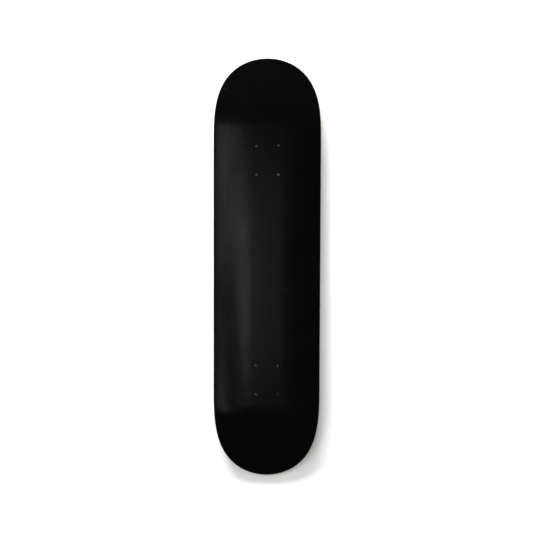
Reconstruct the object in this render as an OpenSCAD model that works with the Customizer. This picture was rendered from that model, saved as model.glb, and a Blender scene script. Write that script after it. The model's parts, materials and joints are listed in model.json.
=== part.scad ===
// Bare seven-ply skateboard deck, lying on its nose and tail tips with its underside up.
// X runs across the deck, +Y runs towards the nose and +Z leaves the underside, where the trucks bolt on.
// The origin is on the resting surface, midway between the two tips.

/* [Length and truck holes] */
// Wheelbase, between the inner holes of the two truck patterns
wheelbase = 361.95; // [320:0.05:400]
// Length of the nose, from its outer truck holes to its tip
nose_length = 173; // [155:0.5:190]
// Length of the tail, from its outer truck holes to its tip
tail_length = 159.1; // [145:0.1:175]
// Truck hole spacing across the deck
hole_spacing_x = 41.28; // [38:0.01:44]
// Truck hole spacing along the deck
hole_spacing_y = 53.98; // [50:0.01:66]
// Diameter of each truck hole
hole_diameter = 5.5; // [4.8:0.1:6.5]

/* [Outline] */
// Width where the nose starts to round in, which is the widest place
nose_width = 204.5; // [180:0.5:230]
// Width where the tail starts to round in
tail_width = 201.5; // [175:0.5:230]
// Distance from the nose tip at which the nose starts to round in
nose_round = 173; // [120:1:200]
// Distance from the tail tip at which the tail starts to round in
tail_round = 198; // [120:1:220]
// Fullness of the nose's outline: 2 is an ellipse and more is squarer
nose_fullness = 3.35; // [2:0.05:5]
// Fullness of the tail's outline: 2 is an ellipse and more is squarer
tail_fullness = 3.85; // [2:0.05:5]

/* [Kicks] */
// Height between the flat and both tips, so that the deck lies level on them
kick_rise = 46; // [25:1:50]
// Radius of the bend between the flat and each kick
bend_radius = 120; // [60:5:140]
// Distance from the nose's outer truck holes to the start of its bend
nose_flat = 36; // [20:1:45]
// Distance from the tail's outer truck holes to the start of its bend
tail_flat = 20; // [15:1:36]

/* [Concave] */
// Width of the flat strip down the middle, where the trucks sit
strip_width = 54; // [50:1:90]
// How far the rails stand off the flat strip's plane at the nose's width
concave_depth = 10; // [0:0.5:18]
// How much of that is left at the two tips
tip_concave_depth = 3; // [0:0.5:10]

/* [Layup] */
// Thickness of one veneer
ply_thickness = 1.57; // [1:0.01:2.2]
// Thickness of the film over the underside
film_thickness = 0.15; // [0.1:0.05:0.5]
// Radius that rounds the deck's upper and lower edges
edge_radius = 3.2; // [2:0.1:5]

/* [Resolution] */
// Steps between the two places where the outline starts to round in
straight_steps = 3; // [1:1:12]
// Steps from there to the start of each bend
lead_steps = 2; // [1:1:6]
// Steps through each bend
bend_steps = 6; // [4:1:12]
// Steps from each bend to its tip
tip_steps = 11; // [6:1:20]
// Steps across each rail
rail_steps = 5; // [3:1:10]
// Steps round each rounded edge, within one veneer
edge_steps = 4; // [2:1:8]

/* [Hidden] */

maple = "#e2c49a";
cross_maple = "#cfa877";
film_black = "#0d0d0e";

ply_count = 7;
deck_thickness = ply_count * ply_thickness;
deck_length = nose_length + tail_length + wheelbase + 2 * hole_spacing_y;
tip_y = deck_length / 2;
nose_truck_y = tip_y - nose_length - hole_spacing_y / 2;
tail_truck_y = tail_length + hole_spacing_y / 2 - tip_y;

// Each end is [half width, start of rounding, fullness, start of bend], with both starts as
// distances from the origin along Y
nose_end = [nose_width / 2, tip_y - nose_round, nose_fullness, tip_y - nose_length + nose_flat];
tail_end = [tail_width / 2, tip_y - tail_round, tail_fullness, tip_y - tail_length + tail_flat];
function end_at(y) = y < 0 ? tail_end : nose_end;
function round_start(end) = end[1];
function fullness(end) = end[2];
function bend_start(end) = end[3];

// A kick is an arc that leaves the flat, then the straight line that touches it and ends at the tip
function kick_angle(end) =
    let (run = tip_y - bend_start(end), left = bend_radius - kick_rise)
    asin(bend_radius / norm([run, left])) - atan2(left, run);
function bend_end(end) = bend_start(end) + bend_radius * sin(kick_angle(end));

// How far the middle of the deck is below the flat at y, and how steeply it falls there
function kick_drop(y) =
    let (end = end_at(y), past = abs(y) - bend_start(end), angle = kick_angle(end))
    past <= 0 ? 0
    : abs(y) < bend_end(end) ? bend_radius - sqrt(bend_radius ^ 2 - past ^ 2)
    : bend_radius * (1 - cos(angle)) + (abs(y) - bend_end(end)) * tan(angle);
function kick_slope(y) =
    let (end = end_at(y), past = abs(y) - bend_start(end))
    past <= 0 ? 0
    : abs(y) < bend_end(end) ? past / sqrt(bend_radius ^ 2 - past ^ 2)
    : tan(kick_angle(end));

// The rails curve away from the flat strip, less and less from the start of each bend to its tip
function ease(t) = t <= 0 ? 0 : t >= 1 ? 1 : t ^ 2 * (3 - 2 * t);
function concave_at(y) =
    let (start = bend_start(end_at(y)))
    concave_depth + (tip_concave_depth - concave_depth) * ease((abs(y) - start) / (tip_y - start));
rail_width = (nose_width - strip_width) / 2;
function rail_run(x) = max(0, abs(x) - strip_width / 2) / rail_width;
function rail_drop(x, y) = concave_at(y) * rail_run(x) ^ 2;
function rail_slope(x, y) = 2 * concave_at(y) * rail_run(x) / rail_width;

// Height at a depth below the underside, measured square to the veneers, from the flat's own middle
function flat_height(x, y, depth) =
    (deck_thickness / 2 - depth) * norm([1, kick_slope(y), rail_slope(x, y)])
    - kick_drop(y) - rail_drop(x, y);

// Outline: how far through an end's rounding y is, half the width there and the way out of the edge
function round_share(y) =
    let (end = end_at(y))
    min(1, max(0, abs(y) - round_start(end)) / (tip_y - round_start(end)));
function straight_half_width(y) =
    let (from = -round_start(tail_end), to = round_start(nose_end))
    tail_end[0] + (nose_end[0] - tail_end[0]) * min(1, max(0, (y - from) / (to - from)));
function half_width(y) = straight_half_width(y) * sqrt(1 - round_share(y) ^ fullness(end_at(y)));
function way_out(y) =
    let (
        end = end_at(y),
        share = round_share(y),
        across = 2 * (tip_y - round_start(end)) * sqrt(1 - share ^ fullness(end)),
        along = share <= 0 ? 0 : end[0] * fullness(end) * share ^ (fullness(end) - 1)
    )
    [across, sign(y) * along] / norm([across, along]);
function edge_place(y, inset) = [half_width(y), y] - inset * way_out(y);

// Stations along one end: to the bend, through it, then in even turns round the outline to the tip
function outline_turn(end, y) =
    y <= round_start(end) ? 0
    : asin(((y - round_start(end)) / (tip_y - round_start(end))) ^ (fullness(end) / 2));
function outline_y(end, turn) =
    round_start(end) + (tip_y - round_start(end)) * sin(turn) ^ (2 / fullness(end));
function between(from, to, steps) = [for (i = [0:steps - 1]) from + (to - from) * i / steps];
function end_stations(end) =
    let (tip_start = max(round_start(end), bend_end(end)))
    concat(
        round_start(end) < bend_start(end) ? between(round_start(end), bend_start(end), lead_steps) : [],
        between(bend_start(end), bend_end(end), bend_steps),
        tip_start > bend_end(end) ? [bend_end(end)] : [],
        [for (turn = between(outline_turn(end, tip_start), 90, tip_steps)) outline_y(end, turn)],
        [tip_y]
    );
nose_stations = end_stations(nose_end);
tail_stations = end_stations(tail_end);
stations = concat(
    [for (i = [len(tail_stations) - 1:-1:0]) -tail_stations[i]],
    [for (y = between(-tail_stations[0], nose_stations[0], straight_steps)) if (y > -tail_stations[0]) y],
    nose_stations
);
last = len(stations) - 1;

// Places across one row from the left edge to the right one, with lines along the flat strip's sides
middle = rail_steps + 1;
row_points = 2 * middle + 1;
function row_x(half, i) =
    let (strip = half * strip_width / nose_width, step = abs(i - middle))
    step == 0 ? 0 : sign(i - middle) * (strip + (half - strip) * (step - 1) / rail_steps);

// How far the edge is rounded in at a depth below the underside
function edge_inset(depth) =
    let (to_face = min(depth, deck_thickness - depth))
    to_face >= edge_radius ? 0 : edge_radius - sqrt(edge_radius ^ 2 - (edge_radius - to_face) ^ 2);

// Depths down one veneer's edge, in even turns where the edge is rounded. Ply 0 is the riding face.
function edge_turn(depth) = acos(1 - min(depth, edge_radius) / edge_radius);
function turned_depths(shallow, deep) =
    shallow >= edge_radius ? [shallow, deep]
    : concat(
        [shallow],
        [
            for (turn = between(edge_turn(shallow), edge_turn(deep), edge_steps))
                if (turn > edge_turn(shallow)) edge_radius * (1 - cos(turn))
        ],
        deep > edge_radius ? [edge_radius, deep] : [deep]
    );
function ply_depths(ply) =
    let (shallow = (ply_count - 1 - ply) * ply_thickness, deep = shallow + ply_thickness)
    ply >= ply_count / 2 ? turned_depths(shallow, deep)
    : let (depths = turned_depths(deck_thickness - deep, deck_thickness - shallow))
        [for (i = [len(depths) - 1:-1:0]) deck_thickness - depths[i]];

// The deck rests on the lowest point of the riding side's rounded tips
rest_height = min([
    for (y = [-tip_y, tip_y], depth = ply_depths(0))
        flat_height(0, y - sign(y) * edge_inset(depth), depth)
]);
function deck_point(x, y, depth) = [x, y, flat_height(x, y, depth) - rest_height];

// A sheet covers the outline at one layer, [depth, inset]: the tail tip, the rows, then the nose tip
function sheet(layer) =
    concat(
        [deck_point(0, layer[1] - tip_y, layer[0])],
        [
            for (k = [1:last - 1])
                let (edge = edge_place(stations[k], layer[1]))
                for (i = [0:row_points - 1]) deck_point(row_x(edge[0], i), edge[1], layer[0])
        ],
        [deck_point(0, tip_y - layer[1], layer[0])]
    );
sheet_size = 2 + (last - 1) * row_points;
function sheet_index(k, i) = 1 + (k - 1) * row_points + i;
sheet_faces = concat(
    [for (i = [0:row_points - 2]) [0, sheet_index(1, i), sheet_index(1, i + 1)]],
    [
        for (k = [1:last - 2], i = [0:row_points - 2])
            each [
                [sheet_index(k, i), sheet_index(k + 1, i), sheet_index(k + 1, i + 1)],
                [sheet_index(k, i), sheet_index(k + 1, i + 1), sheet_index(k, i + 1)]
            ]
    ],
    [for (i = [0:row_points - 2]) [sheet_size - 1, sheet_index(last - 1, i + 1), sheet_index(last - 1, i)]]
);

// A ring runs once round the edge at one layer: tail tip, right side, nose tip, left side
ring_size = 2 * last;
function ring(layer) =
    [
        for (i = [0:ring_size - 1])
            let (k = min(i, ring_size - i), edge = edge_place(stations[k], layer[1]))
            deck_point(k == 0 || k == last ? 0 : sign(last - i) * edge[0], edge[1], layer[0])
    ];
function sheet_edge_index(i) =
    i == 0 ? 0
    : i == last ? sheet_size - 1
    : i < last ? sheet_index(i, row_points - 1)
    : sheet_index(ring_size - i, 0);

// A closed solid from a list of layers: a sheet on top, rings down the edge and a sheet underneath
module laminate(layers) {
    lowest = len(layers) - 1;
    points = concat(
        sheet(layers[0]),
        [for (n = [1:lowest - 1]) each ring(layers[n])],
        sheet(layers[lowest])
    );
    lower_sheet = sheet_size + (lowest - 1) * ring_size;
    function edge_index(n, i) =
        n == 0 ? sheet_edge_index(i)
        : n == lowest ? lower_sheet + sheet_edge_index(i)
        : sheet_size + (n - 1) * ring_size + i;
    lower_faces = [for (face = sheet_faces) [for (i = [2, 1, 0]) lower_sheet + face[i]]];
    // Each pair of triangles is split the same way whether the layers go down or up, so that
    // two neighbours' edges meet face to face
    edge_faces = [
        for (n = [0:lowest - 1], i = [0:ring_size - 1])
            let (
                next = (i + 1) % ring_size,
                goes_down = layers[n + 1][0] > layers[n][0],
                upper = [edge_index(n, i), edge_index(n, next)],
                lower = [edge_index(n + 1, i), edge_index(n + 1, next)]
            )
            each goes_down
                ? [[upper[0], upper[1], lower[1]], [upper[0], lower[1], lower[0]]]
                : [[upper[0], upper[1], lower[0]], [upper[1], lower[1], lower[0]]]
    ];
    polyhedron(points, concat(sheet_faces, lower_faces, edge_faces));
}

module truck_holes() {
    for (truck_y = [nose_truck_y, tail_truck_y], x = [-1, 1], y = [-1, 1])
        translate([x * hole_spacing_x / 2, truck_y + y * hole_spacing_y / 2, 0])
            cylinder(h = 2 * (kick_rise + deck_thickness), d = hole_diameter, $fn = 48);
}

module veneer(ply) {
    difference() {
        laminate([for (depth = ply_depths(ply)) [depth, edge_inset(depth)]]);
        truck_holes();
    }
}

module top_face_ply() { color(maple) veneer(0); }
module top_core_ply() { color(maple) veneer(1); }
module upper_cross_ply() { color(cross_maple) veneer(2); }
module center_core_ply() { color(maple) veneer(3); }
module lower_cross_ply() { color(cross_maple) veneer(4); }
module bottom_core_ply() { color(maple) veneer(5); }
module bottom_face_ply() { color(maple) veneer(6); }

// The film covers the underside and the whole edge of its face ply, and ends at the first glue line
module bottom_film() {
    covered = ply_depths(ply_count - 1);
    outside = [
        for (depth = covered)
            let (turn = edge_turn(depth), grown = edge_radius + film_thickness)
            [max(depth, edge_radius) - grown * cos(turn), edge_radius - grown * sin(turn)]
    ];
    inside = [for (i = [len(covered) - 1:-1:0]) [covered[i], edge_inset(covered[i])]];
    color(film_black)
        difference() {
            laminate(concat(outside, inside));
            truck_holes();
        }
}

top_face_ply();
top_core_ply();
upper_cross_ply();
center_core_ply();
lower_cross_ply();
bottom_core_ply();
bottom_face_ply();
bottom_film();
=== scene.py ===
import json
import math

import bpy
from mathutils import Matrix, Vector


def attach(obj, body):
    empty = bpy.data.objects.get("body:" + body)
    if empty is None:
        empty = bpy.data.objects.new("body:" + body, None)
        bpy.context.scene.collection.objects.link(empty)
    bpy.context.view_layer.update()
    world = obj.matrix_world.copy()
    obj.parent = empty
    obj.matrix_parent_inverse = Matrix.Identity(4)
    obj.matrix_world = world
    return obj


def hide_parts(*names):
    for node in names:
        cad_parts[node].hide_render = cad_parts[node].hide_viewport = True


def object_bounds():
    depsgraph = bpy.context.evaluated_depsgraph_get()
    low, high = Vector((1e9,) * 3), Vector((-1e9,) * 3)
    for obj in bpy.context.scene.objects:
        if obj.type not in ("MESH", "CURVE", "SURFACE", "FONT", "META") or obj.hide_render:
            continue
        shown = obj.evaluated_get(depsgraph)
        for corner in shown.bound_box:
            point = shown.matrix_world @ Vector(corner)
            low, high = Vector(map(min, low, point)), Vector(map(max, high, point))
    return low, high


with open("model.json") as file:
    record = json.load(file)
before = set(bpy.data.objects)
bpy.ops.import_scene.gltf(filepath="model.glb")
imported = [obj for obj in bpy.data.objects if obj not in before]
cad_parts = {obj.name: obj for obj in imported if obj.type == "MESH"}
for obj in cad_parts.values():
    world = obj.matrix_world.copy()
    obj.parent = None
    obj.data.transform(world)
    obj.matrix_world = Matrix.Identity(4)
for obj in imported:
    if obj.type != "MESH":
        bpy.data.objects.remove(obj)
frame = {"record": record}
cadLow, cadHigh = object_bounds()
mm = 0.001
print("deck: frame loaded")

# The deck's own sizes, in metres and radians. Their names are the sockets' names in every shape tree.
layup = {"ply": 1.57 * mm, "plies": 7, "film": 0.15 * mm}
deck = {
    "Tip": cadHigh.y - 0.001 * mm,  # a hair inside the CAD's own tips
    "Nose Width": 204.5 * mm,
    "Tail Width": 201.5 * mm,
    "Nose Round": 173 * mm,
    "Tail Round": 198 * mm,
    "Nose Fullness": 3.35,
    "Tail Fullness": 3.85,
    "Nose Bend Start": cadHigh.y - (173 - 36) * mm,
    "Tail Bend Start": cadHigh.y - (159.1 - 20) * mm,
    "Kick Rise": 46 * mm,
    "Bend Radius": 120 * mm,
    "Strip Width": 54 * mm,
    "Concave Depth": 10 * mm,
    "Tip Concave Depth": 3 * mm,
    "Thickness": layup["ply"] * layup["plies"],
    "Edge Radius": 3.2 * mm,
}
deck["Flat Middle"] = cadHigh.z - layup["film"] - deck["Thickness"] / 2


def kickAngle(bendStart):
    run = deck["Tip"] - bendStart
    left = deck["Bend Radius"] - deck["Kick Rise"]
    return math.asin(deck["Bend Radius"] / math.hypot(run, left)) - math.atan2(left, run)


deck["Nose Angle"] = kickAngle(deck["Nose Bend Start"])
deck["Tail Angle"] = kickAngle(deck["Tail Bend Start"])

# How finely the mesh is laid: rows along the tail, the straight and the nose, and columns across
weave = {"Tail Rows": 84, "Straight Rows": 36, "Nose Rows": 76, "Columns": 72}


# Terms lay Math nodes, so that a formula in a tree reads as one line
class Term:
    def __init__(self, tree, socket):
        self.tree = tree
        self.socket = socket

    def __add__(self, other):
        return calc(self.tree, "ADD", self, other)

    def __radd__(self, other):
        return calc(self.tree, "ADD", other, self)

    def __sub__(self, other):
        return calc(self.tree, "SUBTRACT", self, other)

    def __rsub__(self, other):
        return calc(self.tree, "SUBTRACT", other, self)

    def __mul__(self, other):
        return calc(self.tree, "MULTIPLY", self, other)

    def __rmul__(self, other):
        return calc(self.tree, "MULTIPLY", other, self)

    def __truediv__(self, other):
        return calc(self.tree, "DIVIDE", self, other)

    def __pow__(self, other):
        return calc(self.tree, "POWER", self, other)

    def __abs__(self):
        return calc(self.tree, "ABSOLUTE", self)


def plug(tree, value, socket):
    if isinstance(value, Term):
        tree.links.new(value.socket, socket)
    elif value is not None:
        socket.default_value = value


def calc(tree, operation, *values):
    node = tree.nodes.new("ShaderNodeMath")
    node.operation = operation
    for value, socket in zip(values, node.inputs):
        plug(tree, value, socket)
    return Term(tree, node.outputs[0])


def root(value):
    return calc(value.tree, "SQRT", value)


def limit(value, low, high):
    return calc(value.tree, "MINIMUM", calc(value.tree, "MAXIMUM", value, low), high)


def either(isFirst, first, second):
    return second + isFirst * (first - second)


def addNode(tree, kind, settings=None, output=0, **inputs):
    node = tree.nodes.new(kind)
    for key, value in (settings or {}).items():
        setattr(node, key, value)
    for label, value in inputs.items():
        plug(tree, value, node.inputs[label.replace("_", " ")])
    return Term(tree, node.outputs[output])


# A tree whose inputs are the deck's sizes and its own. Gives the tree and its inputs as terms.
socketKinds = {
    float: "NodeSocketFloat",
    int: "NodeSocketInt",
    bool: "NodeSocketBool",
    None: "NodeSocketGeometry",
    bpy.types.Material: "NodeSocketMaterial",
}


def newTree(name, own, outputs):
    tree = bpy.data.node_groups.new(name, "GeometryNodeTree")
    start = tree.nodes.new("NodeGroupInput")
    for label, default in {**own, **deck}.items():
        kind = default if default in socketKinds else type(default)
        socket = tree.interface.new_socket(label, in_out="INPUT", socket_type=socketKinds[kind])
        if isinstance(default, (int, float)):
            socket.default_value = default
    for label in outputs:
        kind = "NodeSocketGeometry" if label == "Geometry" else "NodeSocketFloat"
        tree.interface.new_socket(label, in_out="OUTPUT", socket_type=kind)
    given = {socket.name: Term(tree, socket) for socket in start.outputs if socket.name}
    return tree, given


def giveOut(tree, **outputs):
    end = tree.nodes.new("NodeGroupOutput")
    for label, value in outputs.items():
        plug(tree, value, end.inputs[label.replace("_", " ")])


# Places a tree inside another. Inputs that aren't given pass through under their own names.
def useTree(tree, inner, given, **own):
    node = tree.nodes.new("GeometryNodeGroup")
    node.node_tree = inner
    for socket in node.inputs:
        label = socket.name.replace(" ", "_")
        if label in own:
            plug(tree, own[label], socket)
        elif socket.name in given:
            plug(tree, given[socket.name], socket)
    return {socket.name: Term(tree, socket) for socket in node.outputs}


# Stations run from the tail tip (0) to the nose tip. They crowd towards the tips as a sine does.
def makeStationTree():
    rows = {label: weave[label] for label in ("Tail Rows", "Straight Rows", "Nose Rows")}
    tree, given = newTree("deckStation", {"Station": 0.0, **rows}, ["Along"])
    station = given["Station"]
    tailRows, straightRows, noseRows = (given[label] for label in rows)
    tailShare = limit((tailRows - station) / tailRows, 0, 1)
    noseShare = limit((station - tailRows - straightRows) / noseRows, 0, 1)
    straightShare = limit((station - tailRows) / straightRows, 0, 1)
    tailStart = given["Tip"] - given["Tail Round"]
    noseStart = given["Tip"] - given["Nose Round"]
    tailReach = given["Tail Round"] * calc(tree, "SINE", tailShare * (math.pi / 2))
    noseReach = given["Nose Round"] * calc(tree, "SINE", noseShare * (math.pi / 2))
    giveOut(tree, Along=noseReach - tailReach - tailStart + (tailStart + noseStart) * straightShare)
    return tree


# Half the width at a station, and the way out of the edge there
def makeOutlineTree():
    tree, given = newTree("deckOutline", {"Along": 0.0}, ["Half Width", "Out X", "Out Y"])
    along = given["Along"]
    isNose = calc(tree, "GREATER_THAN", along, 0)
    rounding = either(isNose, given["Nose Round"], given["Tail Round"])
    fullness = either(isNose, given["Nose Fullness"], given["Tail Fullness"])
    endHalf = either(isNose, given["Nose Width"], given["Tail Width"]) / 2
    share = limit((abs(along) - given["Tip"] + rounding) / rounding, 0, 1)
    across = root(1 - share ** fullness)
    tailStart = given["Tip"] - given["Tail Round"]
    noseStart = given["Tip"] - given["Nose Round"]
    taper = limit((along + tailStart) / (tailStart + noseStart), 0, 1)
    straightHalf = (given["Tail Width"] + (given["Nose Width"] - given["Tail Width"]) * taper) / 2
    outX = rounding * across * 2
    outY = endHalf * fullness * share ** (fullness - 1) * calc(tree, "SIGN", along)
    size = root(outX * outX + outY * outY)
    giveOut(tree, Half_Width=straightHalf * across, Out_X=outX / size, Out_Y=outY / size)
    return tree


# Follows the edge's profile by the length run round it from the underside. Grow lifts it off the wood.
def makeEdgeTree():
    tree, given = newTree("deckEdge", {"Run": 0.0, "Grow": 0.0}, ["Depth", "Inset"])
    run, grow, radius, thickness = (given[label] for label in ("Run", "Grow", "Edge Radius", "Thickness"))
    quarter = radius * (math.pi / 2)
    whole = quarter * 2 + thickness - radius * 2
    isRiding = calc(tree, "GREATER_THAN", run, whole / 2)
    fromFace = calc(tree, "MAXIMUM", calc(tree, "MINIMUM", run, whole - run), 0)
    turn = limit(fromFace / radius, 0, math.pi / 2)
    pastTurn = calc(tree, "MAXIMUM", fromFace - quarter, 0)
    depth = radius - (radius + grow) * calc(tree, "COSINE", turn) + pastTurn
    inset = radius - (radius + grow) * calc(tree, "SINE", turn)
    giveOut(tree, Depth=either(isRiding, thickness - depth, depth), Inset=inset)
    return tree


# The bent sheet itself: how far the middle veneer drops at a place, and how it stretches depths there
def makeBendTree():
    tree, given = newTree("deckBend", {"Across": 0.0, "Along": 0.0}, ["Drop", "Stretch"])
    along = given["Along"]
    radius = given["Bend Radius"]
    isNose = calc(tree, "GREATER_THAN", along, 0)
    bendStart = either(isNose, given["Nose Bend Start"], given["Tail Bend Start"])
    angle = either(isNose, given["Nose Angle"], given["Tail Angle"])
    past = calc(tree, "MAXIMUM", abs(along) - bendStart, 0)
    bendRun = radius * calc(tree, "SINE", angle)
    inBend = calc(tree, "MINIMUM", past, bendRun)
    left = root(radius * radius - inBend * inBend)
    kickSlope = inBend / left
    kickDrop = radius - left + (past - inBend) * calc(tree, "TANGENT", angle)
    share = limit(past / (given["Tip"] - bendStart), 0, 1)
    eased = share * share * (3 - share * 2)
    concave = given["Concave Depth"] + (given["Tip Concave Depth"] - given["Concave Depth"]) * eased
    railWidth = (given["Nose Width"] - given["Strip Width"]) / 2
    rail = calc(tree, "MAXIMUM", abs(given["Across"]) - given["Strip Width"] / 2, 0) / railWidth
    railSlope = concave * rail * 2 / railWidth
    stretch = root(1 + kickSlope * kickSlope + railSlope * railSlope)
    giveOut(tree, Drop=kickDrop + concave * rail * rail, Stretch=stretch)
    return tree


# Moves a flat grid's points onto the deck, where Side is -1 to 1 across each station
def makeLayTree(stationTree, outlineTree, edgeTree, bendTree):
    own = {"Geometry": None, "Station": 0.0, "Side": 0.0, "Run": 0.0, "Grow": 0.0}
    rows = {"Tail Rows": 1, "Straight Rows": 1, "Nose Rows": 1}
    tree, given = newTree("layOnDeck", {**own, **rows}, ["Geometry"])
    along = useTree(tree, stationTree, given)["Along"]
    outline = useTree(tree, outlineTree, given, Along=along)
    edge = useTree(tree, edgeTree, given)
    across = given["Side"] * (outline["Half Width"] - edge["Inset"] * outline["Out X"])
    setBack = along - edge["Inset"] * outline["Out Y"]
    bend = useTree(tree, bendTree, given, Across=across, Along=setBack)
    rise = (given["Thickness"] / 2 - edge["Depth"]) * bend["Stretch"]
    height = given["Flat Middle"] + rise - bend["Drop"]
    rested = calc(tree, "MAXIMUM", height, 0)
    place = addNode(tree, "ShaderNodeCombineXYZ", X=across, Y=setBack, Z=rested)
    moved = addNode(tree, "GeometryNodeSetPosition", Geometry=given["Geometry"], Position=place)
    giveOut(tree, Geometry=moved)
    return tree


def gridParts(tree, columns, rows):
    grid = addNode(
        tree, "GeometryNodeMeshGrid", Vertices_X=columns + 1, Vertices_Y=rows + 1, Size_X=1.0, Size_Y=1.0
    )
    position = addNode(tree, "GeometryNodeInputPosition")
    split = tree.nodes.new("ShaderNodeSeparateXYZ")
    tree.links.new(position.socket, split.inputs[0])
    fromLeft = Term(tree, split.outputs["X"]) + 0.5
    fromBottom = Term(tree, split.outputs["Y"]) + 0.5
    return grid, fromLeft, fromBottom


# One face of a veneer or of the film, edge to edge
def makeSheetTree(layTree):
    tree, given = newTree("deckSheet", {"Run": 0.0, "Grow": 0.0, **weave}, ["Geometry"])
    rows = given["Tail Rows"] + given["Straight Rows"] + given["Nose Rows"]
    grid, fromLeft, fromBottom = gridParts(tree, given["Columns"], rows)
    station = calc(tree, "ROUND", fromBottom * rows)
    laid = useTree(tree, layTree, given, Geometry=grid, Station=station, Side=fromLeft * 2 - 1)
    giveOut(tree, Geometry=laid["Geometry"])
    return tree


# A band once round the edge, from one run and growth to another
def makeBandTree(layTree):
    own = {"From Run": 0.0, "To Run": 0.0, "From Grow": 0.0, "To Grow": 0.0, "Steps": 1, **weave}
    tree, given = newTree("deckBand", own, ["Geometry"])
    rows = given["Tail Rows"] + given["Straight Rows"] + given["Nose Rows"]
    grid, fromLeft, fromTop = gridParts(tree, rows * 2, given["Steps"])
    place = calc(tree, "ROUND", fromLeft * rows * 2)
    station = rows - abs(place - rows)
    side = calc(tree, "SIGN", rows - place)
    run = given["From Run"] + (given["To Run"] - given["From Run"]) * fromTop
    grow = given["From Grow"] + (given["To Grow"] - given["From Grow"]) * fromTop
    laid = useTree(tree, layTree, given, Geometry=grid, Station=station, Side=side, Run=run, Grow=grow)
    giveOut(tree, Geometry=addNode(tree, "GeometryNodeFlipFaces", Mesh=laid["Geometry"]))
    return tree


def joined(tree, *parts):
    node = tree.nodes.new("GeometryNodeJoinGeometry")
    for part in parts:
        tree.links.new(part.socket, node.inputs[0])
    return Term(tree, node.outputs[0])


# The truck holes come from the record's two bolt patterns. Their rims are broken by a hair.
patterns = {m["name"]: m for m in frame["record"]["mounts"] if m["kind"] == "bolt_pattern"}
nosePattern = patterns["nose_truck_bolts"]
holes = {
    "Hole Radius": nosePattern["dims"]["hole_r_mm"] * mm,
    "Spacing X": nosePattern["dims"]["spacing_x_mm"] * mm,
    "Spacing Y": nosePattern["dims"]["spacing_y_mm"] * mm,
    "Nose Pattern": nosePattern["pos_m"][1],
    "Tail Pattern": patterns["tail_truck_bolts"]["pos_m"][1],
    "Rim Break": 0.3 * mm,
    "Hole Sides": 64,
    "Film": layup["film"],
}


# Drills both patterns: a lathed drill shape stands on each of the eight points
def makeDrillTree():
    tree, given = newTree("drillTruckHoles", {"Geometry": None, **holes}, ["Geometry"])
    overshoot = 2 * mm
    riding = given["Flat Middle"] - given["Thickness"] / 2
    under = given["Flat Middle"] + given["Thickness"] / 2 + given["Film"]
    heights = [riding - overshoot, riding + given["Rim Break"], under - given["Rim Break"], under + overshoot]
    wide = given["Hole Radius"] + given["Rim Break"] + overshoot
    radii = [wide, given["Hole Radius"], given["Hole Radius"], wide]
    index = addNode(tree, "GeometryNodeInputIndex")

    def byIndex(values):
        node = tree.nodes.new("GeometryNodeIndexSwitch")
        node.data_type = "FLOAT"
        while len(node.index_switch_items) < len(values):
            node.index_switch_items.new()
        plug(tree, index, node.inputs["Index"])
        for value, socket in zip(values, list(node.inputs)[1:]):
            plug(tree, value, socket)
        return Term(tree, node.outputs[0])

    line = addNode(tree, "GeometryNodeMeshLine", Count=len(heights))
    stand = addNode(tree, "ShaderNodeCombineXYZ", Z=byIndex(heights))
    line = addNode(tree, "GeometryNodeSetPosition", Geometry=line, Position=stand)
    line = addNode(tree, "GeometryNodeMeshToCurve", Mesh=line)
    line = addNode(tree, "GeometryNodeSetCurveRadius", Curve=line, Radius=byIndex(radii))
    circle = addNode(tree, "GeometryNodeCurvePrimitiveCircle", Resolution=given["Hole Sides"], Radius=1.0)
    drill = tree.nodes.new("GeometryNodeCurveToMesh")
    plug(tree, line, drill.inputs["Curve"])
    plug(tree, circle, drill.inputs["Profile Curve"])
    drill.inputs["Fill Caps"].default_value = True
    plug(tree, byIndex(radii), drill.inputs["Scale"])
    spots = []
    for label in ("Nose Pattern", "Tail Pattern"):
        spot = addNode(
            tree, "GeometryNodeMeshGrid", Size_X=given["Spacing X"], Size_Y=given["Spacing Y"],
            Vertices_X=2, Vertices_Y=2,
        )
        shift = addNode(tree, "ShaderNodeCombineXYZ", Y=given[label])
        spots.append(addNode(tree, "GeometryNodeSetPosition", Geometry=spot, Offset=shift))
    stood = addNode(
        tree, "GeometryNodeInstanceOnPoints", Points=joined(tree, *spots),
        Instance=Term(tree, drill.outputs[0]),
    )
    drills = addNode(tree, "GeometryNodeRealizeInstances", Geometry=stood)
    cut = tree.nodes.new("GeometryNodeMeshBoolean")
    cut.operation = "DIFFERENCE"
    cut.solver = "EXACT"
    plug(tree, given["Geometry"], cut.inputs["Mesh 1"])
    plug(tree, drills, cut.inputs["Mesh 2"])
    giveOut(tree, Geometry=Term(tree, cut.outputs[0]))
    return tree


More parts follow.
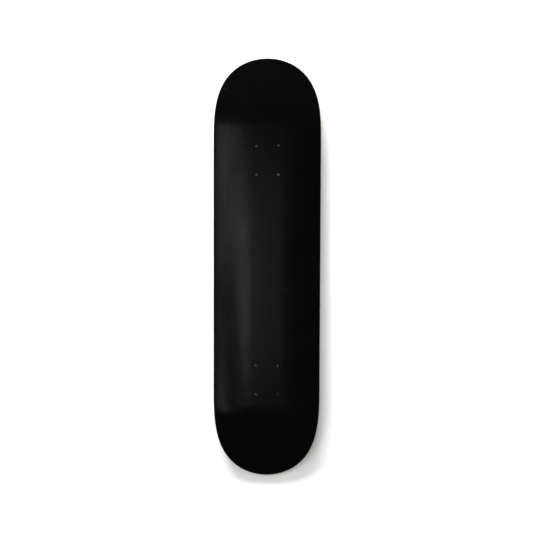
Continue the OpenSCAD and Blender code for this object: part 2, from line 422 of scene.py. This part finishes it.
# Welds the sheets and bands into one shell, drills it, notes how deep each point lies in the layup,
# keeps true corners crisp and gives it its material
def finishShell(tree, given, drillTree, bendTree, *parts):
    weldGap = 0.002 * mm
    crisp = math.radians(28)
    shell = addNode(tree, "GeometryNodeMergeByDistance", Geometry=joined(tree, *parts), Distance=weldGap)
    shell = useTree(tree, drillTree, given, Geometry=shell)["Geometry"]
    position = addNode(tree, "GeometryNodeInputPosition")
    split = tree.nodes.new("ShaderNodeSeparateXYZ")
    tree.links.new(position.socket, split.inputs[0])
    across, along, height = (Term(tree, socket) for socket in split.outputs)
    bend = useTree(tree, bendTree, given, Across=across, Along=along)
    depth = given["Thickness"] / 2 - (height - given["Flat Middle"] + bend["Drop"]) / bend["Stretch"]
    store = tree.nodes.new("GeometryNodeStoreNamedAttribute")
    store.data_type = "FLOAT"
    store.domain = "POINT"
    store.inputs["Name"].default_value = "plyDepth"
    plug(tree, shell, store.inputs["Geometry"])
    plug(tree, depth / layup["ply"], store.inputs["Value"])
    shell = Term(tree, store.outputs[0])
    shell = addNode(tree, "GeometryNodeSetShadeSmooth", {"domain": "FACE"}, Geometry=shell, Shade_Smooth=True)
    corner = calc(tree, "GREATER_THAN", addNode(tree, "GeometryNodeInputMeshEdgeAngle"), crisp)
    shell = addNode(
        tree, "GeometryNodeSetShadeSmooth", {"domain": "EDGE"}, Geometry=shell, Selection=corner,
        Shade_Smooth=False,
    )
    shell = addNode(tree, "GeometryNodeRealizeInstances", Geometry=shell)
    giveOut(tree, Geometry=addNode(tree, "GeometryNodeSetMaterial", Geometry=shell, Material=given["Finish"]))


def makeVeneerTree(sheetTree, bandTree, drillTree, bendTree):
    own = {"From Run": 0.0, "To Run": 0.0, "Steps": 8, "Finish": bpy.types.Material, **weave, **holes}
    tree, given = newTree("veneer", own, ["Geometry"])
    upper = useTree(tree, sheetTree, given, Run=given["From Run"])["Geometry"]
    lower = useTree(tree, sheetTree, given, Run=given["To Run"])["Geometry"]
    lower = addNode(tree, "GeometryNodeFlipFaces", Mesh=lower)
    band = useTree(tree, bandTree, given)["Geometry"]
    finishShell(tree, given, drillTree, bendTree, upper, lower, band)
    return tree


# The film lies on the underside and wraps its face ply's edge down to the first glue line
def makeFilmTree(sheetTree, bandTree, drillTree, bendTree):
    own = {"Wrap Run": 0.0, "Steps": 8, "Finish": bpy.types.Material, **weave, **holes}
    tree, given = newTree("transferFilm", own, ["Geometry"])
    wrap, film = given["Wrap Run"], given["Film"]
    outer = useTree(tree, sheetTree, given, Grow=film)["Geometry"]
    inner = addNode(tree, "GeometryNodeFlipFaces", Mesh=useTree(tree, sheetTree, given)["Geometry"])
    outerBand = useTree(tree, bandTree, given, To_Run=wrap, From_Grow=film, To_Grow=film)["Geometry"]
    cutBand = useTree(tree, bandTree, given, From_Run=wrap, To_Run=wrap, From_Grow=film, Steps=1)["Geometry"]
    innerBand = useTree(tree, bandTree, given, From_Run=wrap)["Geometry"]
    finishShell(tree, given, drillTree, bendTree, outer, inner, outerBand, cutBand, innerBand)
    return tree


stationTree = makeStationTree()
outlineTree = makeOutlineTree()
edgeTree = makeEdgeTree()
bendTree = makeBendTree()
layTree = makeLayTree(stationTree, outlineTree, edgeTree, bendTree)
sheetTree = makeSheetTree(layTree)
bandTree = makeBandTree(layTree)
drillTree = makeDrillTree()
veneerTree = makeVeneerTree(sheetTree, bandTree, drillTree, bendTree)
filmTree = makeFilmTree(sheetTree, bandTree, drillTree, bendTree)
print("deck: shape trees laid out")


# How far round the edge's profile a depth below the underside is
def runAtDepth(depth):
    radius, thickness = deck["Edge Radius"], deck["Thickness"]
    quarter = radius * math.pi / 2
    whole = 2 * quarter + thickness - 2 * radius
    if depth > thickness / 2:
        return whole - runAtDepth(thickness - depth)
    if depth < radius:
        return radius * math.acos(1 - depth / radius)
    return quarter + depth - radius


# Grows a piece from a tree and leaves it as a plain mesh at the origin
def growPiece(name, tree, **settings):
    start = bpy.data.meshes.new(name + "Start")
    piece = bpy.data.objects.new(name, start)
    bpy.context.scene.collection.objects.link(piece)
    modifier = piece.modifiers.new("grow", "NODES")
    modifier.node_group = tree
    sockets = {item.name: item.identifier for item in tree.interface.items_tree if item.in_out == "INPUT"}
    for label, value in settings.items():
        modifier[sockets[label.replace("_", " ")]] = value
    depsgraph = bpy.context.evaluated_depsgraph_get()
    grown = bpy.data.meshes.new_from_object(piece.evaluated_get(depsgraph), depsgraph=depsgraph)
    piece.modifiers.remove(modifier)
    piece.data = grown
    grown.name = name
    bpy.data.meshes.remove(start)
    print(f"deck: {name} has {len(grown.vertices)} points and {len(grown.polygons)} faces")
    return piece


# Shader helpers
def addShade(tree, kind, settings=None, **inputs):
    node = tree.nodes.new(kind)
    for key, value in (settings or {}).items():
        setattr(node, key, value)
    for label, value in inputs.items():
        plug(tree, value, node.inputs[label.replace("_", " ")])
    return node


def out(node, label=0):
    return Term(node.id_data, node.outputs[label])


def newGroup(name, inputs, outputs):
    tree = bpy.data.node_groups.new(name, "ShaderNodeTree")
    kinds = {"Vector": "NodeSocketVector", "Color": "NodeSocketColor"}
    for label, default in inputs.items():
        socket = tree.interface.new_socket(
            label, in_out="INPUT", socket_type=kinds.get(label, "NodeSocketFloat")
        )
        if default is not None:
            socket.default_value = default
    for label in outputs:
        tree.interface.new_socket(label, in_out="OUTPUT", socket_type="NodeSocketFloat")
    start = tree.nodes.new("NodeGroupInput")
    return tree, {socket.name: Term(tree, socket) for socket in start.outputs if socket.name}


def noiseAt(tree, vector, scale, detail=2.0, roughness=0.5, distortion=0.0):
    node = addShade(
        tree, "ShaderNodeTexNoise", Vector=vector, Scale=scale, Detail=detail, Roughness=roughness,
        Distortion=distortion,
    )
    return out(node, "Fac")


def stretched(tree, vector, across, along, up, seed=None):
    node = addShade(tree, "ShaderNodeVectorMath", {"operation": "MULTIPLY"})
    plug(tree, vector, node.inputs[0])
    node.inputs[1].default_value = (across, along, up)
    if seed is None:
        return out(node)
    moved = addShade(tree, "ShaderNodeVectorMath", {"operation": "ADD"})
    plug(tree, out(node), moved.inputs[0])
    shift = addShade(tree, "ShaderNodeCombineXYZ", X=seed * 7.3, Y=seed * 3.1, Z=seed * 5.7)
    plug(tree, out(shift), moved.inputs[1])
    return out(moved)


def smoothStep(value, low, high):
    node = addShade(value.tree, "ShaderNodeMapRange", {"interpolation_type": "SMOOTHSTEP"})
    plug(value.tree, value, node.inputs["Value"])
    node.inputs["From Min"].default_value = low
    node.inputs["From Max"].default_value = high
    return out(node)


# How closely each mark in the maple lies, per metre: first across the grain, then along it
grainScales = {
    "sheet": (7.0, 0.85),
    "wander": (120.0, 6.0),
    "fade": (14.0, 2.0),
    "streaks": (420.0, 5.0),
    "fibres": (1500.0, 26.0),
    "pores": (2600.0, 150.0),
    "mineral": (60.0, 2.2),
}


# Rotary-cut maple: growth lines that run with the sheet, fine fibres, short pores and a rare mineral
# streak. Y is the grain.
def makeMapleGroup():
    tree, given = newGroup("mapleGrain", {"Vector": None, "Seed": 0.0, "Figure Count": 7.0}, [
        "Figure", "Fibre", "Pores", "Mineral", "Height",
    ])
    seed = given["Seed"]

    def grainNoise(label, seedHere, *shape):
        across, along = grainScales[label]
        return noiseAt(tree, stretched(tree, given["Vector"], across, along, across, seedHere), 1.0, *shape)

    slow = grainNoise("sheet", seed, 2.0, 0.4, 0.15)
    wander = grainNoise("wander", seed + 2, 3.0, 0.55)
    rings = calc(tree, "FRACT", slow * given["Figure Count"] * 2 + wander * 0.35)
    growth = rings ** 2.2 * (1 - smoothStep(rings, 0.93, 1.0))
    fade = smoothStep(grainNoise("fade", seed + 6, 2.0), 0.3, 0.7)
    figure = growth * (fade * 0.7 + 0.3)
    streaks = grainNoise("streaks", seed, 3.0, 0.6)
    fibre = grainNoise("fibres", seed, 3.0, 0.6)
    pores = smoothStep(grainNoise("pores", seed, 1.0), 0.66, 0.78)
    mineral = smoothStep(grainNoise("mineral", seed + 4, 2.0, 0.5), 0.69, 0.8)
    end = tree.nodes.new("NodeGroupOutput")
    height = fibre * 0.5 - pores * 0.6 + figure * 0.1
    for label, value in (
        ("Figure", figure), ("Fibre", fibre * 0.5 + streaks * 0.5), ("Pores", pores), ("Mineral", mineral),
        ("Height", height),
    ):
        plug(tree, value, end.inputs[label])
    return tree


# Dark glue at each line between two veneers. Depth counts veneers from the underside.
def makeGlueGroup():
    tree, given = newGroup("glueLines", {"Plies": 7.0, "Line": 0.05}, ["Glue"])
    depth = out(addShade(tree, "ShaderNodeAttribute", {"attribute_name": "plyDepth"}), "Fac")
    line = calc(tree, "MINIMUM", calc(tree, "MAXIMUM", calc(tree, "ROUND", depth), 1), given["Plies"] - 1)
    away = abs(depth - line) / given["Line"]
    end = tree.nodes.new("NodeGroupOutput")
    plug(tree, 1 - smoothStep(away, 0.35, 1.0), end.inputs["Glue"])
    return tree


# Painted shade: a near-black colour on the truck holes' walls and a hair round their rims, standing in for
# the shade inside the holes
holeShadeReach = {
    "Spacing X": holes["Spacing X"],
    "Spacing Y": holes["Spacing Y"],
    "Nose Pattern": holes["Nose Pattern"],
    "Tail Pattern": holes["Tail Pattern"],
    "Reach": holes["Hole Radius"] + 0.35 * mm,
    "Fade": 0.25 * mm,
}


def makeHoleShadeGroup():
    tree, given = newGroup("truckHolePaintedShade", {"Vector": None, **holeShadeReach}, ["HoleShade"])
    split = addShade(tree, "ShaderNodeSeparateXYZ")
    plug(tree, given["Vector"], split.inputs[0])
    across = abs(abs(Term(tree, split.outputs["X"])) - given["Spacing X"] / 2)
    along = Term(tree, split.outputs["Y"])
    fromNose = abs(abs(along - given["Nose Pattern"]) - given["Spacing Y"] / 2)
    fromTail = abs(abs(along - given["Tail Pattern"]) - given["Spacing Y"] / 2)
    alongHole = calc(tree, "MINIMUM", fromNose, fromTail)
    fromAxis = root(across * across + alongHole * alongHole)
    end = tree.nodes.new("NodeGroupOutput")
    plug(tree, 1 - limit((fromAxis - given["Reach"]) / given["Fade"], 0, 1), end.inputs["HoleShade"])
    return tree


mapleGroup = makeMapleGroup()
glueGroup = makeGlueGroup()
holeShadeGroup = makeHoleShadeGroup()


def newMaterial(name):
    material = bpy.data.materials.new(name)
    material.use_nodes = True
    tree = material.node_tree
    tree.nodes.clear()
    shader = tree.nodes.new("ShaderNodeBsdfPrincipled")
    end = tree.nodes.new("ShaderNodeOutputMaterial")
    tree.links.new(shader.outputs[0], end.inputs["Surface"])
    return material, tree, shader


def mixColors(tree, share, first, second):
    node = addShade(tree, "ShaderNodeMix", {"data_type": "RGBA"})
    plug(tree, share, node.inputs["Factor"])
    for value, label in ((first, "A"), (second, "B")):
        socket = [item for item in node.inputs if item.name == label and item.type == "RGBA"][0]
        if isinstance(value, Term):
            tree.links.new(value.socket, socket)
        else:
            socket.default_value = (*value, 1.0)
    return Term(tree, [item for item in node.outputs if item.type == "RGBA"][0])


def bumped(tree, height, distance, strength):
    node = addShade(tree, "ShaderNodeBump", Height=height, Distance=distance, Strength=strength)
    return out(node, "Normal")


mapleTones = {
    # The riding face's tones are paler than the underside face's: painted light that lifts the shade the deck
    # casts on its own riding side
    "riding": {"pale": (0.740, 0.560, 0.370), "dark": (0.560, 0.370, 0.205), "roughness": 0.40, "coat": 0.35},
    "face": {"pale": (0.620, 0.440, 0.260), "dark": (0.470, 0.300, 0.155), "roughness": 0.42, "coat": 0.30},
    "core": {"pale": (0.600, 0.415, 0.235), "dark": (0.440, 0.275, 0.135), "roughness": 0.52, "coat": 0.15},
    "cross": {"pale": (0.400, 0.240, 0.115), "dark": (0.290, 0.160, 0.070), "roughness": 0.58, "coat": 0.10},
}

stains = {
    "pores": (0.22, 0.12, 0.05),
    "mineral": (0.30, 0.20, 0.11),
    "glue": (0.13, 0.065, 0.025),
    # Painted shade for the truck holes' walls and rims, not a real finish
    "paintedHoleShade": (0.006, 0.006, 0.006),
}
stainShares = {"pores": 0.35, "mineral": 0.30, "glue": 0.75}
lacquer = {"coatRoughness": 0.22, "relief": 0.06 * mm, "reliefStrength": 0.6}


def makeMaple(name, tone, seed, crossGrain=False, figureCount=7.0):
    material, tree, shader = newMaterial(name)
    place = out(addShade(tree, "ShaderNodeTexCoord"), "Object")
    turned = addShade(tree, "ShaderNodeMapping", Vector=place)
    turned.inputs["Rotation"].default_value = (0, 0, math.pi / 2 if crossGrain else 0)
    grain = tree.nodes.new("ShaderNodeGroup")
    grain.node_tree = mapleGroup
    plug(tree, out(turned), grain.inputs["Vector"])
    grain.inputs["Seed"].default_value = seed
    grain.inputs["Figure Count"].default_value = figureCount
    glue = tree.nodes.new("ShaderNodeGroup")
    glue.node_tree = glueGroup
    share = out(grain, "Figure") * 0.6 + out(grain, "Fibre") * 0.9 - 0.25
    colour = mixColors(tree, share, tone["pale"], tone["dark"])
    colour = mixColors(tree, out(grain, "Pores") * stainShares["pores"], colour, stains["pores"])
    colour = mixColors(tree, out(grain, "Mineral") * stainShares["mineral"], colour, stains["mineral"])
    colour = mixColors(tree, out(glue, "Glue") * stainShares["glue"], colour, stains["glue"])
    # Painted shade: the truck holes' walls and rims go near black
    holeShadeNode = tree.nodes.new("ShaderNodeGroup")
    holeShadeNode.node_tree = holeShadeGroup
    plug(tree, place, holeShadeNode.inputs["Vector"])
    colour = mixColors(tree, out(holeShadeNode, "HoleShade"), colour, stains["paintedHoleShade"])
    plug(tree, colour, shader.inputs["Base Color"])
    roughness = tone["roughness"] + out(grain, "Pores") * 0.15 + out(grain, "Fibre") * 0.08
    plug(tree, roughness, shader.inputs["Roughness"])
    height = out(grain, "Height") - out(glue, "Glue") * 1.2
    plug(tree, bumped(tree, height, lacquer["relief"], lacquer["reliefStrength"]), shader.inputs["Normal"])
    shader.inputs["Coat Weight"].default_value = tone["coat"]
    shader.inputs["Coat Roughness"].default_value = lacquer["coatRoughness"]
    return material


# The film: near-black and satin. Its sheen drifts slowly, and the maple under it shows as long faint lines.
# Both blacks are darker than a real film's, to suit the view's toe curve. Raise them for another scene.
filmFinish = {
    "black": (0.0014, 0.0014, 0.0015),
    "worn": (0.0022, 0.0022, 0.0022),
    "roughness": 0.25,
    "driftSpread": 0.22,
    "lineSpread": 0.08,
    "toothSpread": 0.05,
    "relief": 0.012 * mm,
    "reliefStrength": 0.5,
}


def makeFilmBlack():
    material, tree, shader = newMaterial("transferFilmBlack")
    place = out(addShade(tree, "ShaderNodeTexCoord"), "Object")
    drift = noiseAt(tree, stretched(tree, place, 16.0, 9.0, 16.0), 1.0, 4.0, 0.55, 0.8)
    tooth = noiseAt(tree, place, 2400.0, 2.0, 0.6)
    lines = noiseAt(tree, stretched(tree, place, 700.0, 9.0, 700.0), 1.0, 3.0, 0.55)
    plug(tree, mixColors(tree, drift, filmFinish["black"], filmFinish["worn"]), shader.inputs["Base Color"])
    roughness = filmFinish["roughness"] + (drift - 0.5) * filmFinish["driftSpread"]
    roughness = roughness + (lines - 0.5) * filmFinish["lineSpread"]
    roughness = roughness + (tooth - 0.5) * filmFinish["toothSpread"]
    plug(tree, roughness, shader.inputs["Roughness"])
    height = lines * 0.7 + tooth * 0.3
    normal = bumped(tree, height, filmFinish["relief"], filmFinish["reliefStrength"])
    plug(tree, normal, shader.inputs["Normal"])
    return material


# Veneers from the riding side to the underside, with the look of each
veneers = [
    ("top_face_ply", "ridingFaceVeneer", "maple_face", "riding", 1.0, False),
    ("top_core_ply", "ridingCoreVeneer", "maple_core", "core", 2.3, False),
    ("upper_cross_ply", "ridingCrossVeneer", "maple_cross", "cross", 3.1, True),
    ("center_core_ply", "centerCoreVeneer", "maple_core", "core", 4.7, False),
    ("lower_cross_ply", "undersideCrossVeneer", "maple_cross", "cross", 5.9, True),
    ("bottom_core_ply", "undersideCoreVeneer", "maple_core", "core", 6.4, False),
    ("bottom_face_ply", "undersideFaceVeneer", "maple_face", "face", 7.7, False),
]
for place, (node, name, slot, tone, seed, crossGrain) in enumerate(veneers):
    shallow = (layup["plies"] - 1 - place) * layup["ply"]
    material = makeMaple(name + "Maple", mapleTones[tone], seed, crossGrain)
    piece = growPiece(
        name, veneerTree, From_Run=runAtDepth(shallow), To_Run=runAtDepth(shallow + layup["ply"]),
        Finish=material,
    )
    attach(piece, "root")
    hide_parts(node)

film = growPiece(
    "transferFilm", filmTree, Wrap_Run=runAtDepth(layup["ply"]), Steps=10, Finish=makeFilmBlack()
)
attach(film, "root")
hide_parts("bottom_film")
print("deck: veneers and film grown")

# The studio: a pale floor, a low key from behind the nose and a side key, five soft panels that give the
# film its sheen, and an open sky. The air has a value of its own for the film's reflections and for what
# the camera sees past the floor.
studio = {
    "cameraPlace": (-0.0009, 0.0, 2.46),
    "lens": 86.0,
    "sensor": 36,
    "nearest": 0.01,
    "farthest": 50,
    "lean": math.radians(0.17),
    "floorSize": 3.0,
    "floorPale": (0.56, 0.56, 0.56),
    "floorRoughness": 0.9,
    "floorSpecular": 0.1,
    "skyLight": 1.42,
    "skyFade": (0.2, 0.75),
    "horizonLight": 0.05,
    "mirroredAir": 0.24,
    "seenAir": 1.1,
}
# Keys light the deck and cast its shadow, and reflections don't see them. Sheens are what the film mirrors.
keys = {
    "lowKey": {"place": (-0.58, 2.58, 1.41), "aim": (0, 0, 0), "size": (1.8, 0.95), "power": 320},
    "sideKey": {"place": (-1.0, 0.35, 2.3), "aim": (0, 0, 0), "size": (0.5, 0.9), "power": 16},
}
sheens = {
    "sheenTop": {"place": (-1.12, 0.40, 2.3), "aim": (-0.4, 0.2, 0), "size": (0.75, 0.4), "power": 1.85},
    "sheenShoulder": {"place": (-0.66, 0.25, 2.3), "aim": (-0.4, 0.1, 0), "size": (0.5, 0.36), "power": 1.0},
    "sheenMiddle": {
        "place": (-0.33, -0.07, 2.3), "aim": (-0.33, -0.07, 0), "size": (0.34, 0.5), "power": 1.25,
    },
    "sheenCentre": {"place": (-0.2, -0.05, 2.3), "aim": (-0.2, -0.05, 0), "size": (0.36, 0.9), "power": 0.95},
    "sheenTail": {"place": (-1.1, -0.6, 2.3), "aim": (-0.4, -0.2, 0), "size": (0.9, 0.2), "power": 1.3},
}
# Scene brightness and the print's brightness for it: the dark end is pressed towards black
toeCurve = [
    (0.0, 0.0), (0.02, 0.0033), (0.05, 0.0167), (0.1, 0.05),
    (0.2, 0.133), (0.4, 0.32), (0.7, 0.6125), (1.0, 0.909),
]

floorMesh = bpy.data.meshes.new("studioFloor")
half = studio["floorSize"] / 2
floorCorners = [(-half, -half, 0), (half, -half, 0), (half, half, 0), (-half, half, 0)]
floorMesh.from_pydata(floorCorners, [], [(0, 1, 2, 3)])
floor = bpy.data.objects.new("studioFloor", floorMesh)
bpy.context.scene.collection.objects.link(floor)
floorMaterial, floorTree, floorShader = newMaterial("floorPaper")
floorShader.inputs["Base Color"].default_value = (*studio["floorPale"], 1)
floorShader.inputs["Roughness"].default_value = studio["floorRoughness"]
floorShader.inputs["Specular IOR Level"].default_value = studio["floorSpecular"]
# Seen from below, the floor is clear
clear = floorTree.nodes.new("ShaderNodeBsdfTransparent")
mixer = floorTree.nodes.new("ShaderNodeMixShader")
side = floorTree.nodes.new("ShaderNodeNewGeometry")
floorTree.links.new(side.outputs["Backfacing"], mixer.inputs[0])
floorTree.links.new(floorShader.outputs[0], mixer.inputs[1])
floorTree.links.new(clear.outputs[0], mixer.inputs[2])
floorEnd = [node for node in floorTree.nodes if node.type == "OUTPUT_MATERIAL"][0]
floorTree.links.new(mixer.outputs[0], floorEnd.inputs["Surface"])
floorMesh.materials.append(floorMaterial)

for name, panel in {**keys, **sheens}.items():
    light = bpy.data.lights.new(name, "AREA")
    light.shape = "RECTANGLE"
    light.size, light.size_y = panel["size"]
    light.energy = panel["power"]
    lamp = bpy.data.objects.new(name, light)
    lamp.location = panel["place"]
    lamp.rotation_euler = (Vector(panel["aim"]) - Vector(panel["place"])).to_track_quat("-Z", "Y").to_euler()
    lamp.visible_glossy = name in sheens
    bpy.context.scene.collection.objects.link(lamp)

world = bpy.data.worlds.new("studioAir")
bpy.context.scene.world = world
world.use_nodes = True
air = world.node_tree
height = air.nodes.new("ShaderNodeSeparateXYZ")
air.links.new(air.nodes.new("ShaderNodeTexCoord").outputs["Generated"], height.inputs[0])
sky = smoothStep(Term(air, height.outputs["Z"]), *studio["skyFade"])
strength = sky * (studio["skyLight"] - studio["horizonLight"]) + studio["horizonLight"]
rays = air.nodes.new("ShaderNodeLightPath")
strength = either(Term(air, rays.outputs["Is Glossy Ray"]), studio["mirroredAir"], strength)
strength = either(Term(air, rays.outputs["Is Camera Ray"]), studio["seenAir"], strength)
plug(air, strength, air.nodes["Background"].inputs["Strength"])
air.nodes["Background"].inputs["Color"].default_value = (1, 1, 1, 1)

camera = bpy.data.objects.new("camera", bpy.data.cameras.new("camera"))
bpy.context.scene.collection.objects.link(camera)
camera.location = studio["cameraPlace"]
camera.rotation_euler = (0, 0, studio["lean"])
camera.data.lens = studio["lens"]
camera.data.sensor_width = studio["sensor"]
camera.data.clip_start = studio["nearest"]
camera.data.clip_end = studio["farthest"]
bpy.context.scene.camera = camera

view = bpy.context.scene.view_settings
view.view_transform = "Standard"
view.use_curve_mapping = True
tones = view.curve_mapping
tones.extend = "EXTRAPOLATED"
toe = tones.curves[3]
for place, level in toeCurve[1:-1]:
    toe.points.new(place, level)
toe.points[0].location = toeCurve[0]
toe.points[len(toe.points) - 1].location = toeCurve[-1]
tones.update()
print("deck: studio ready")
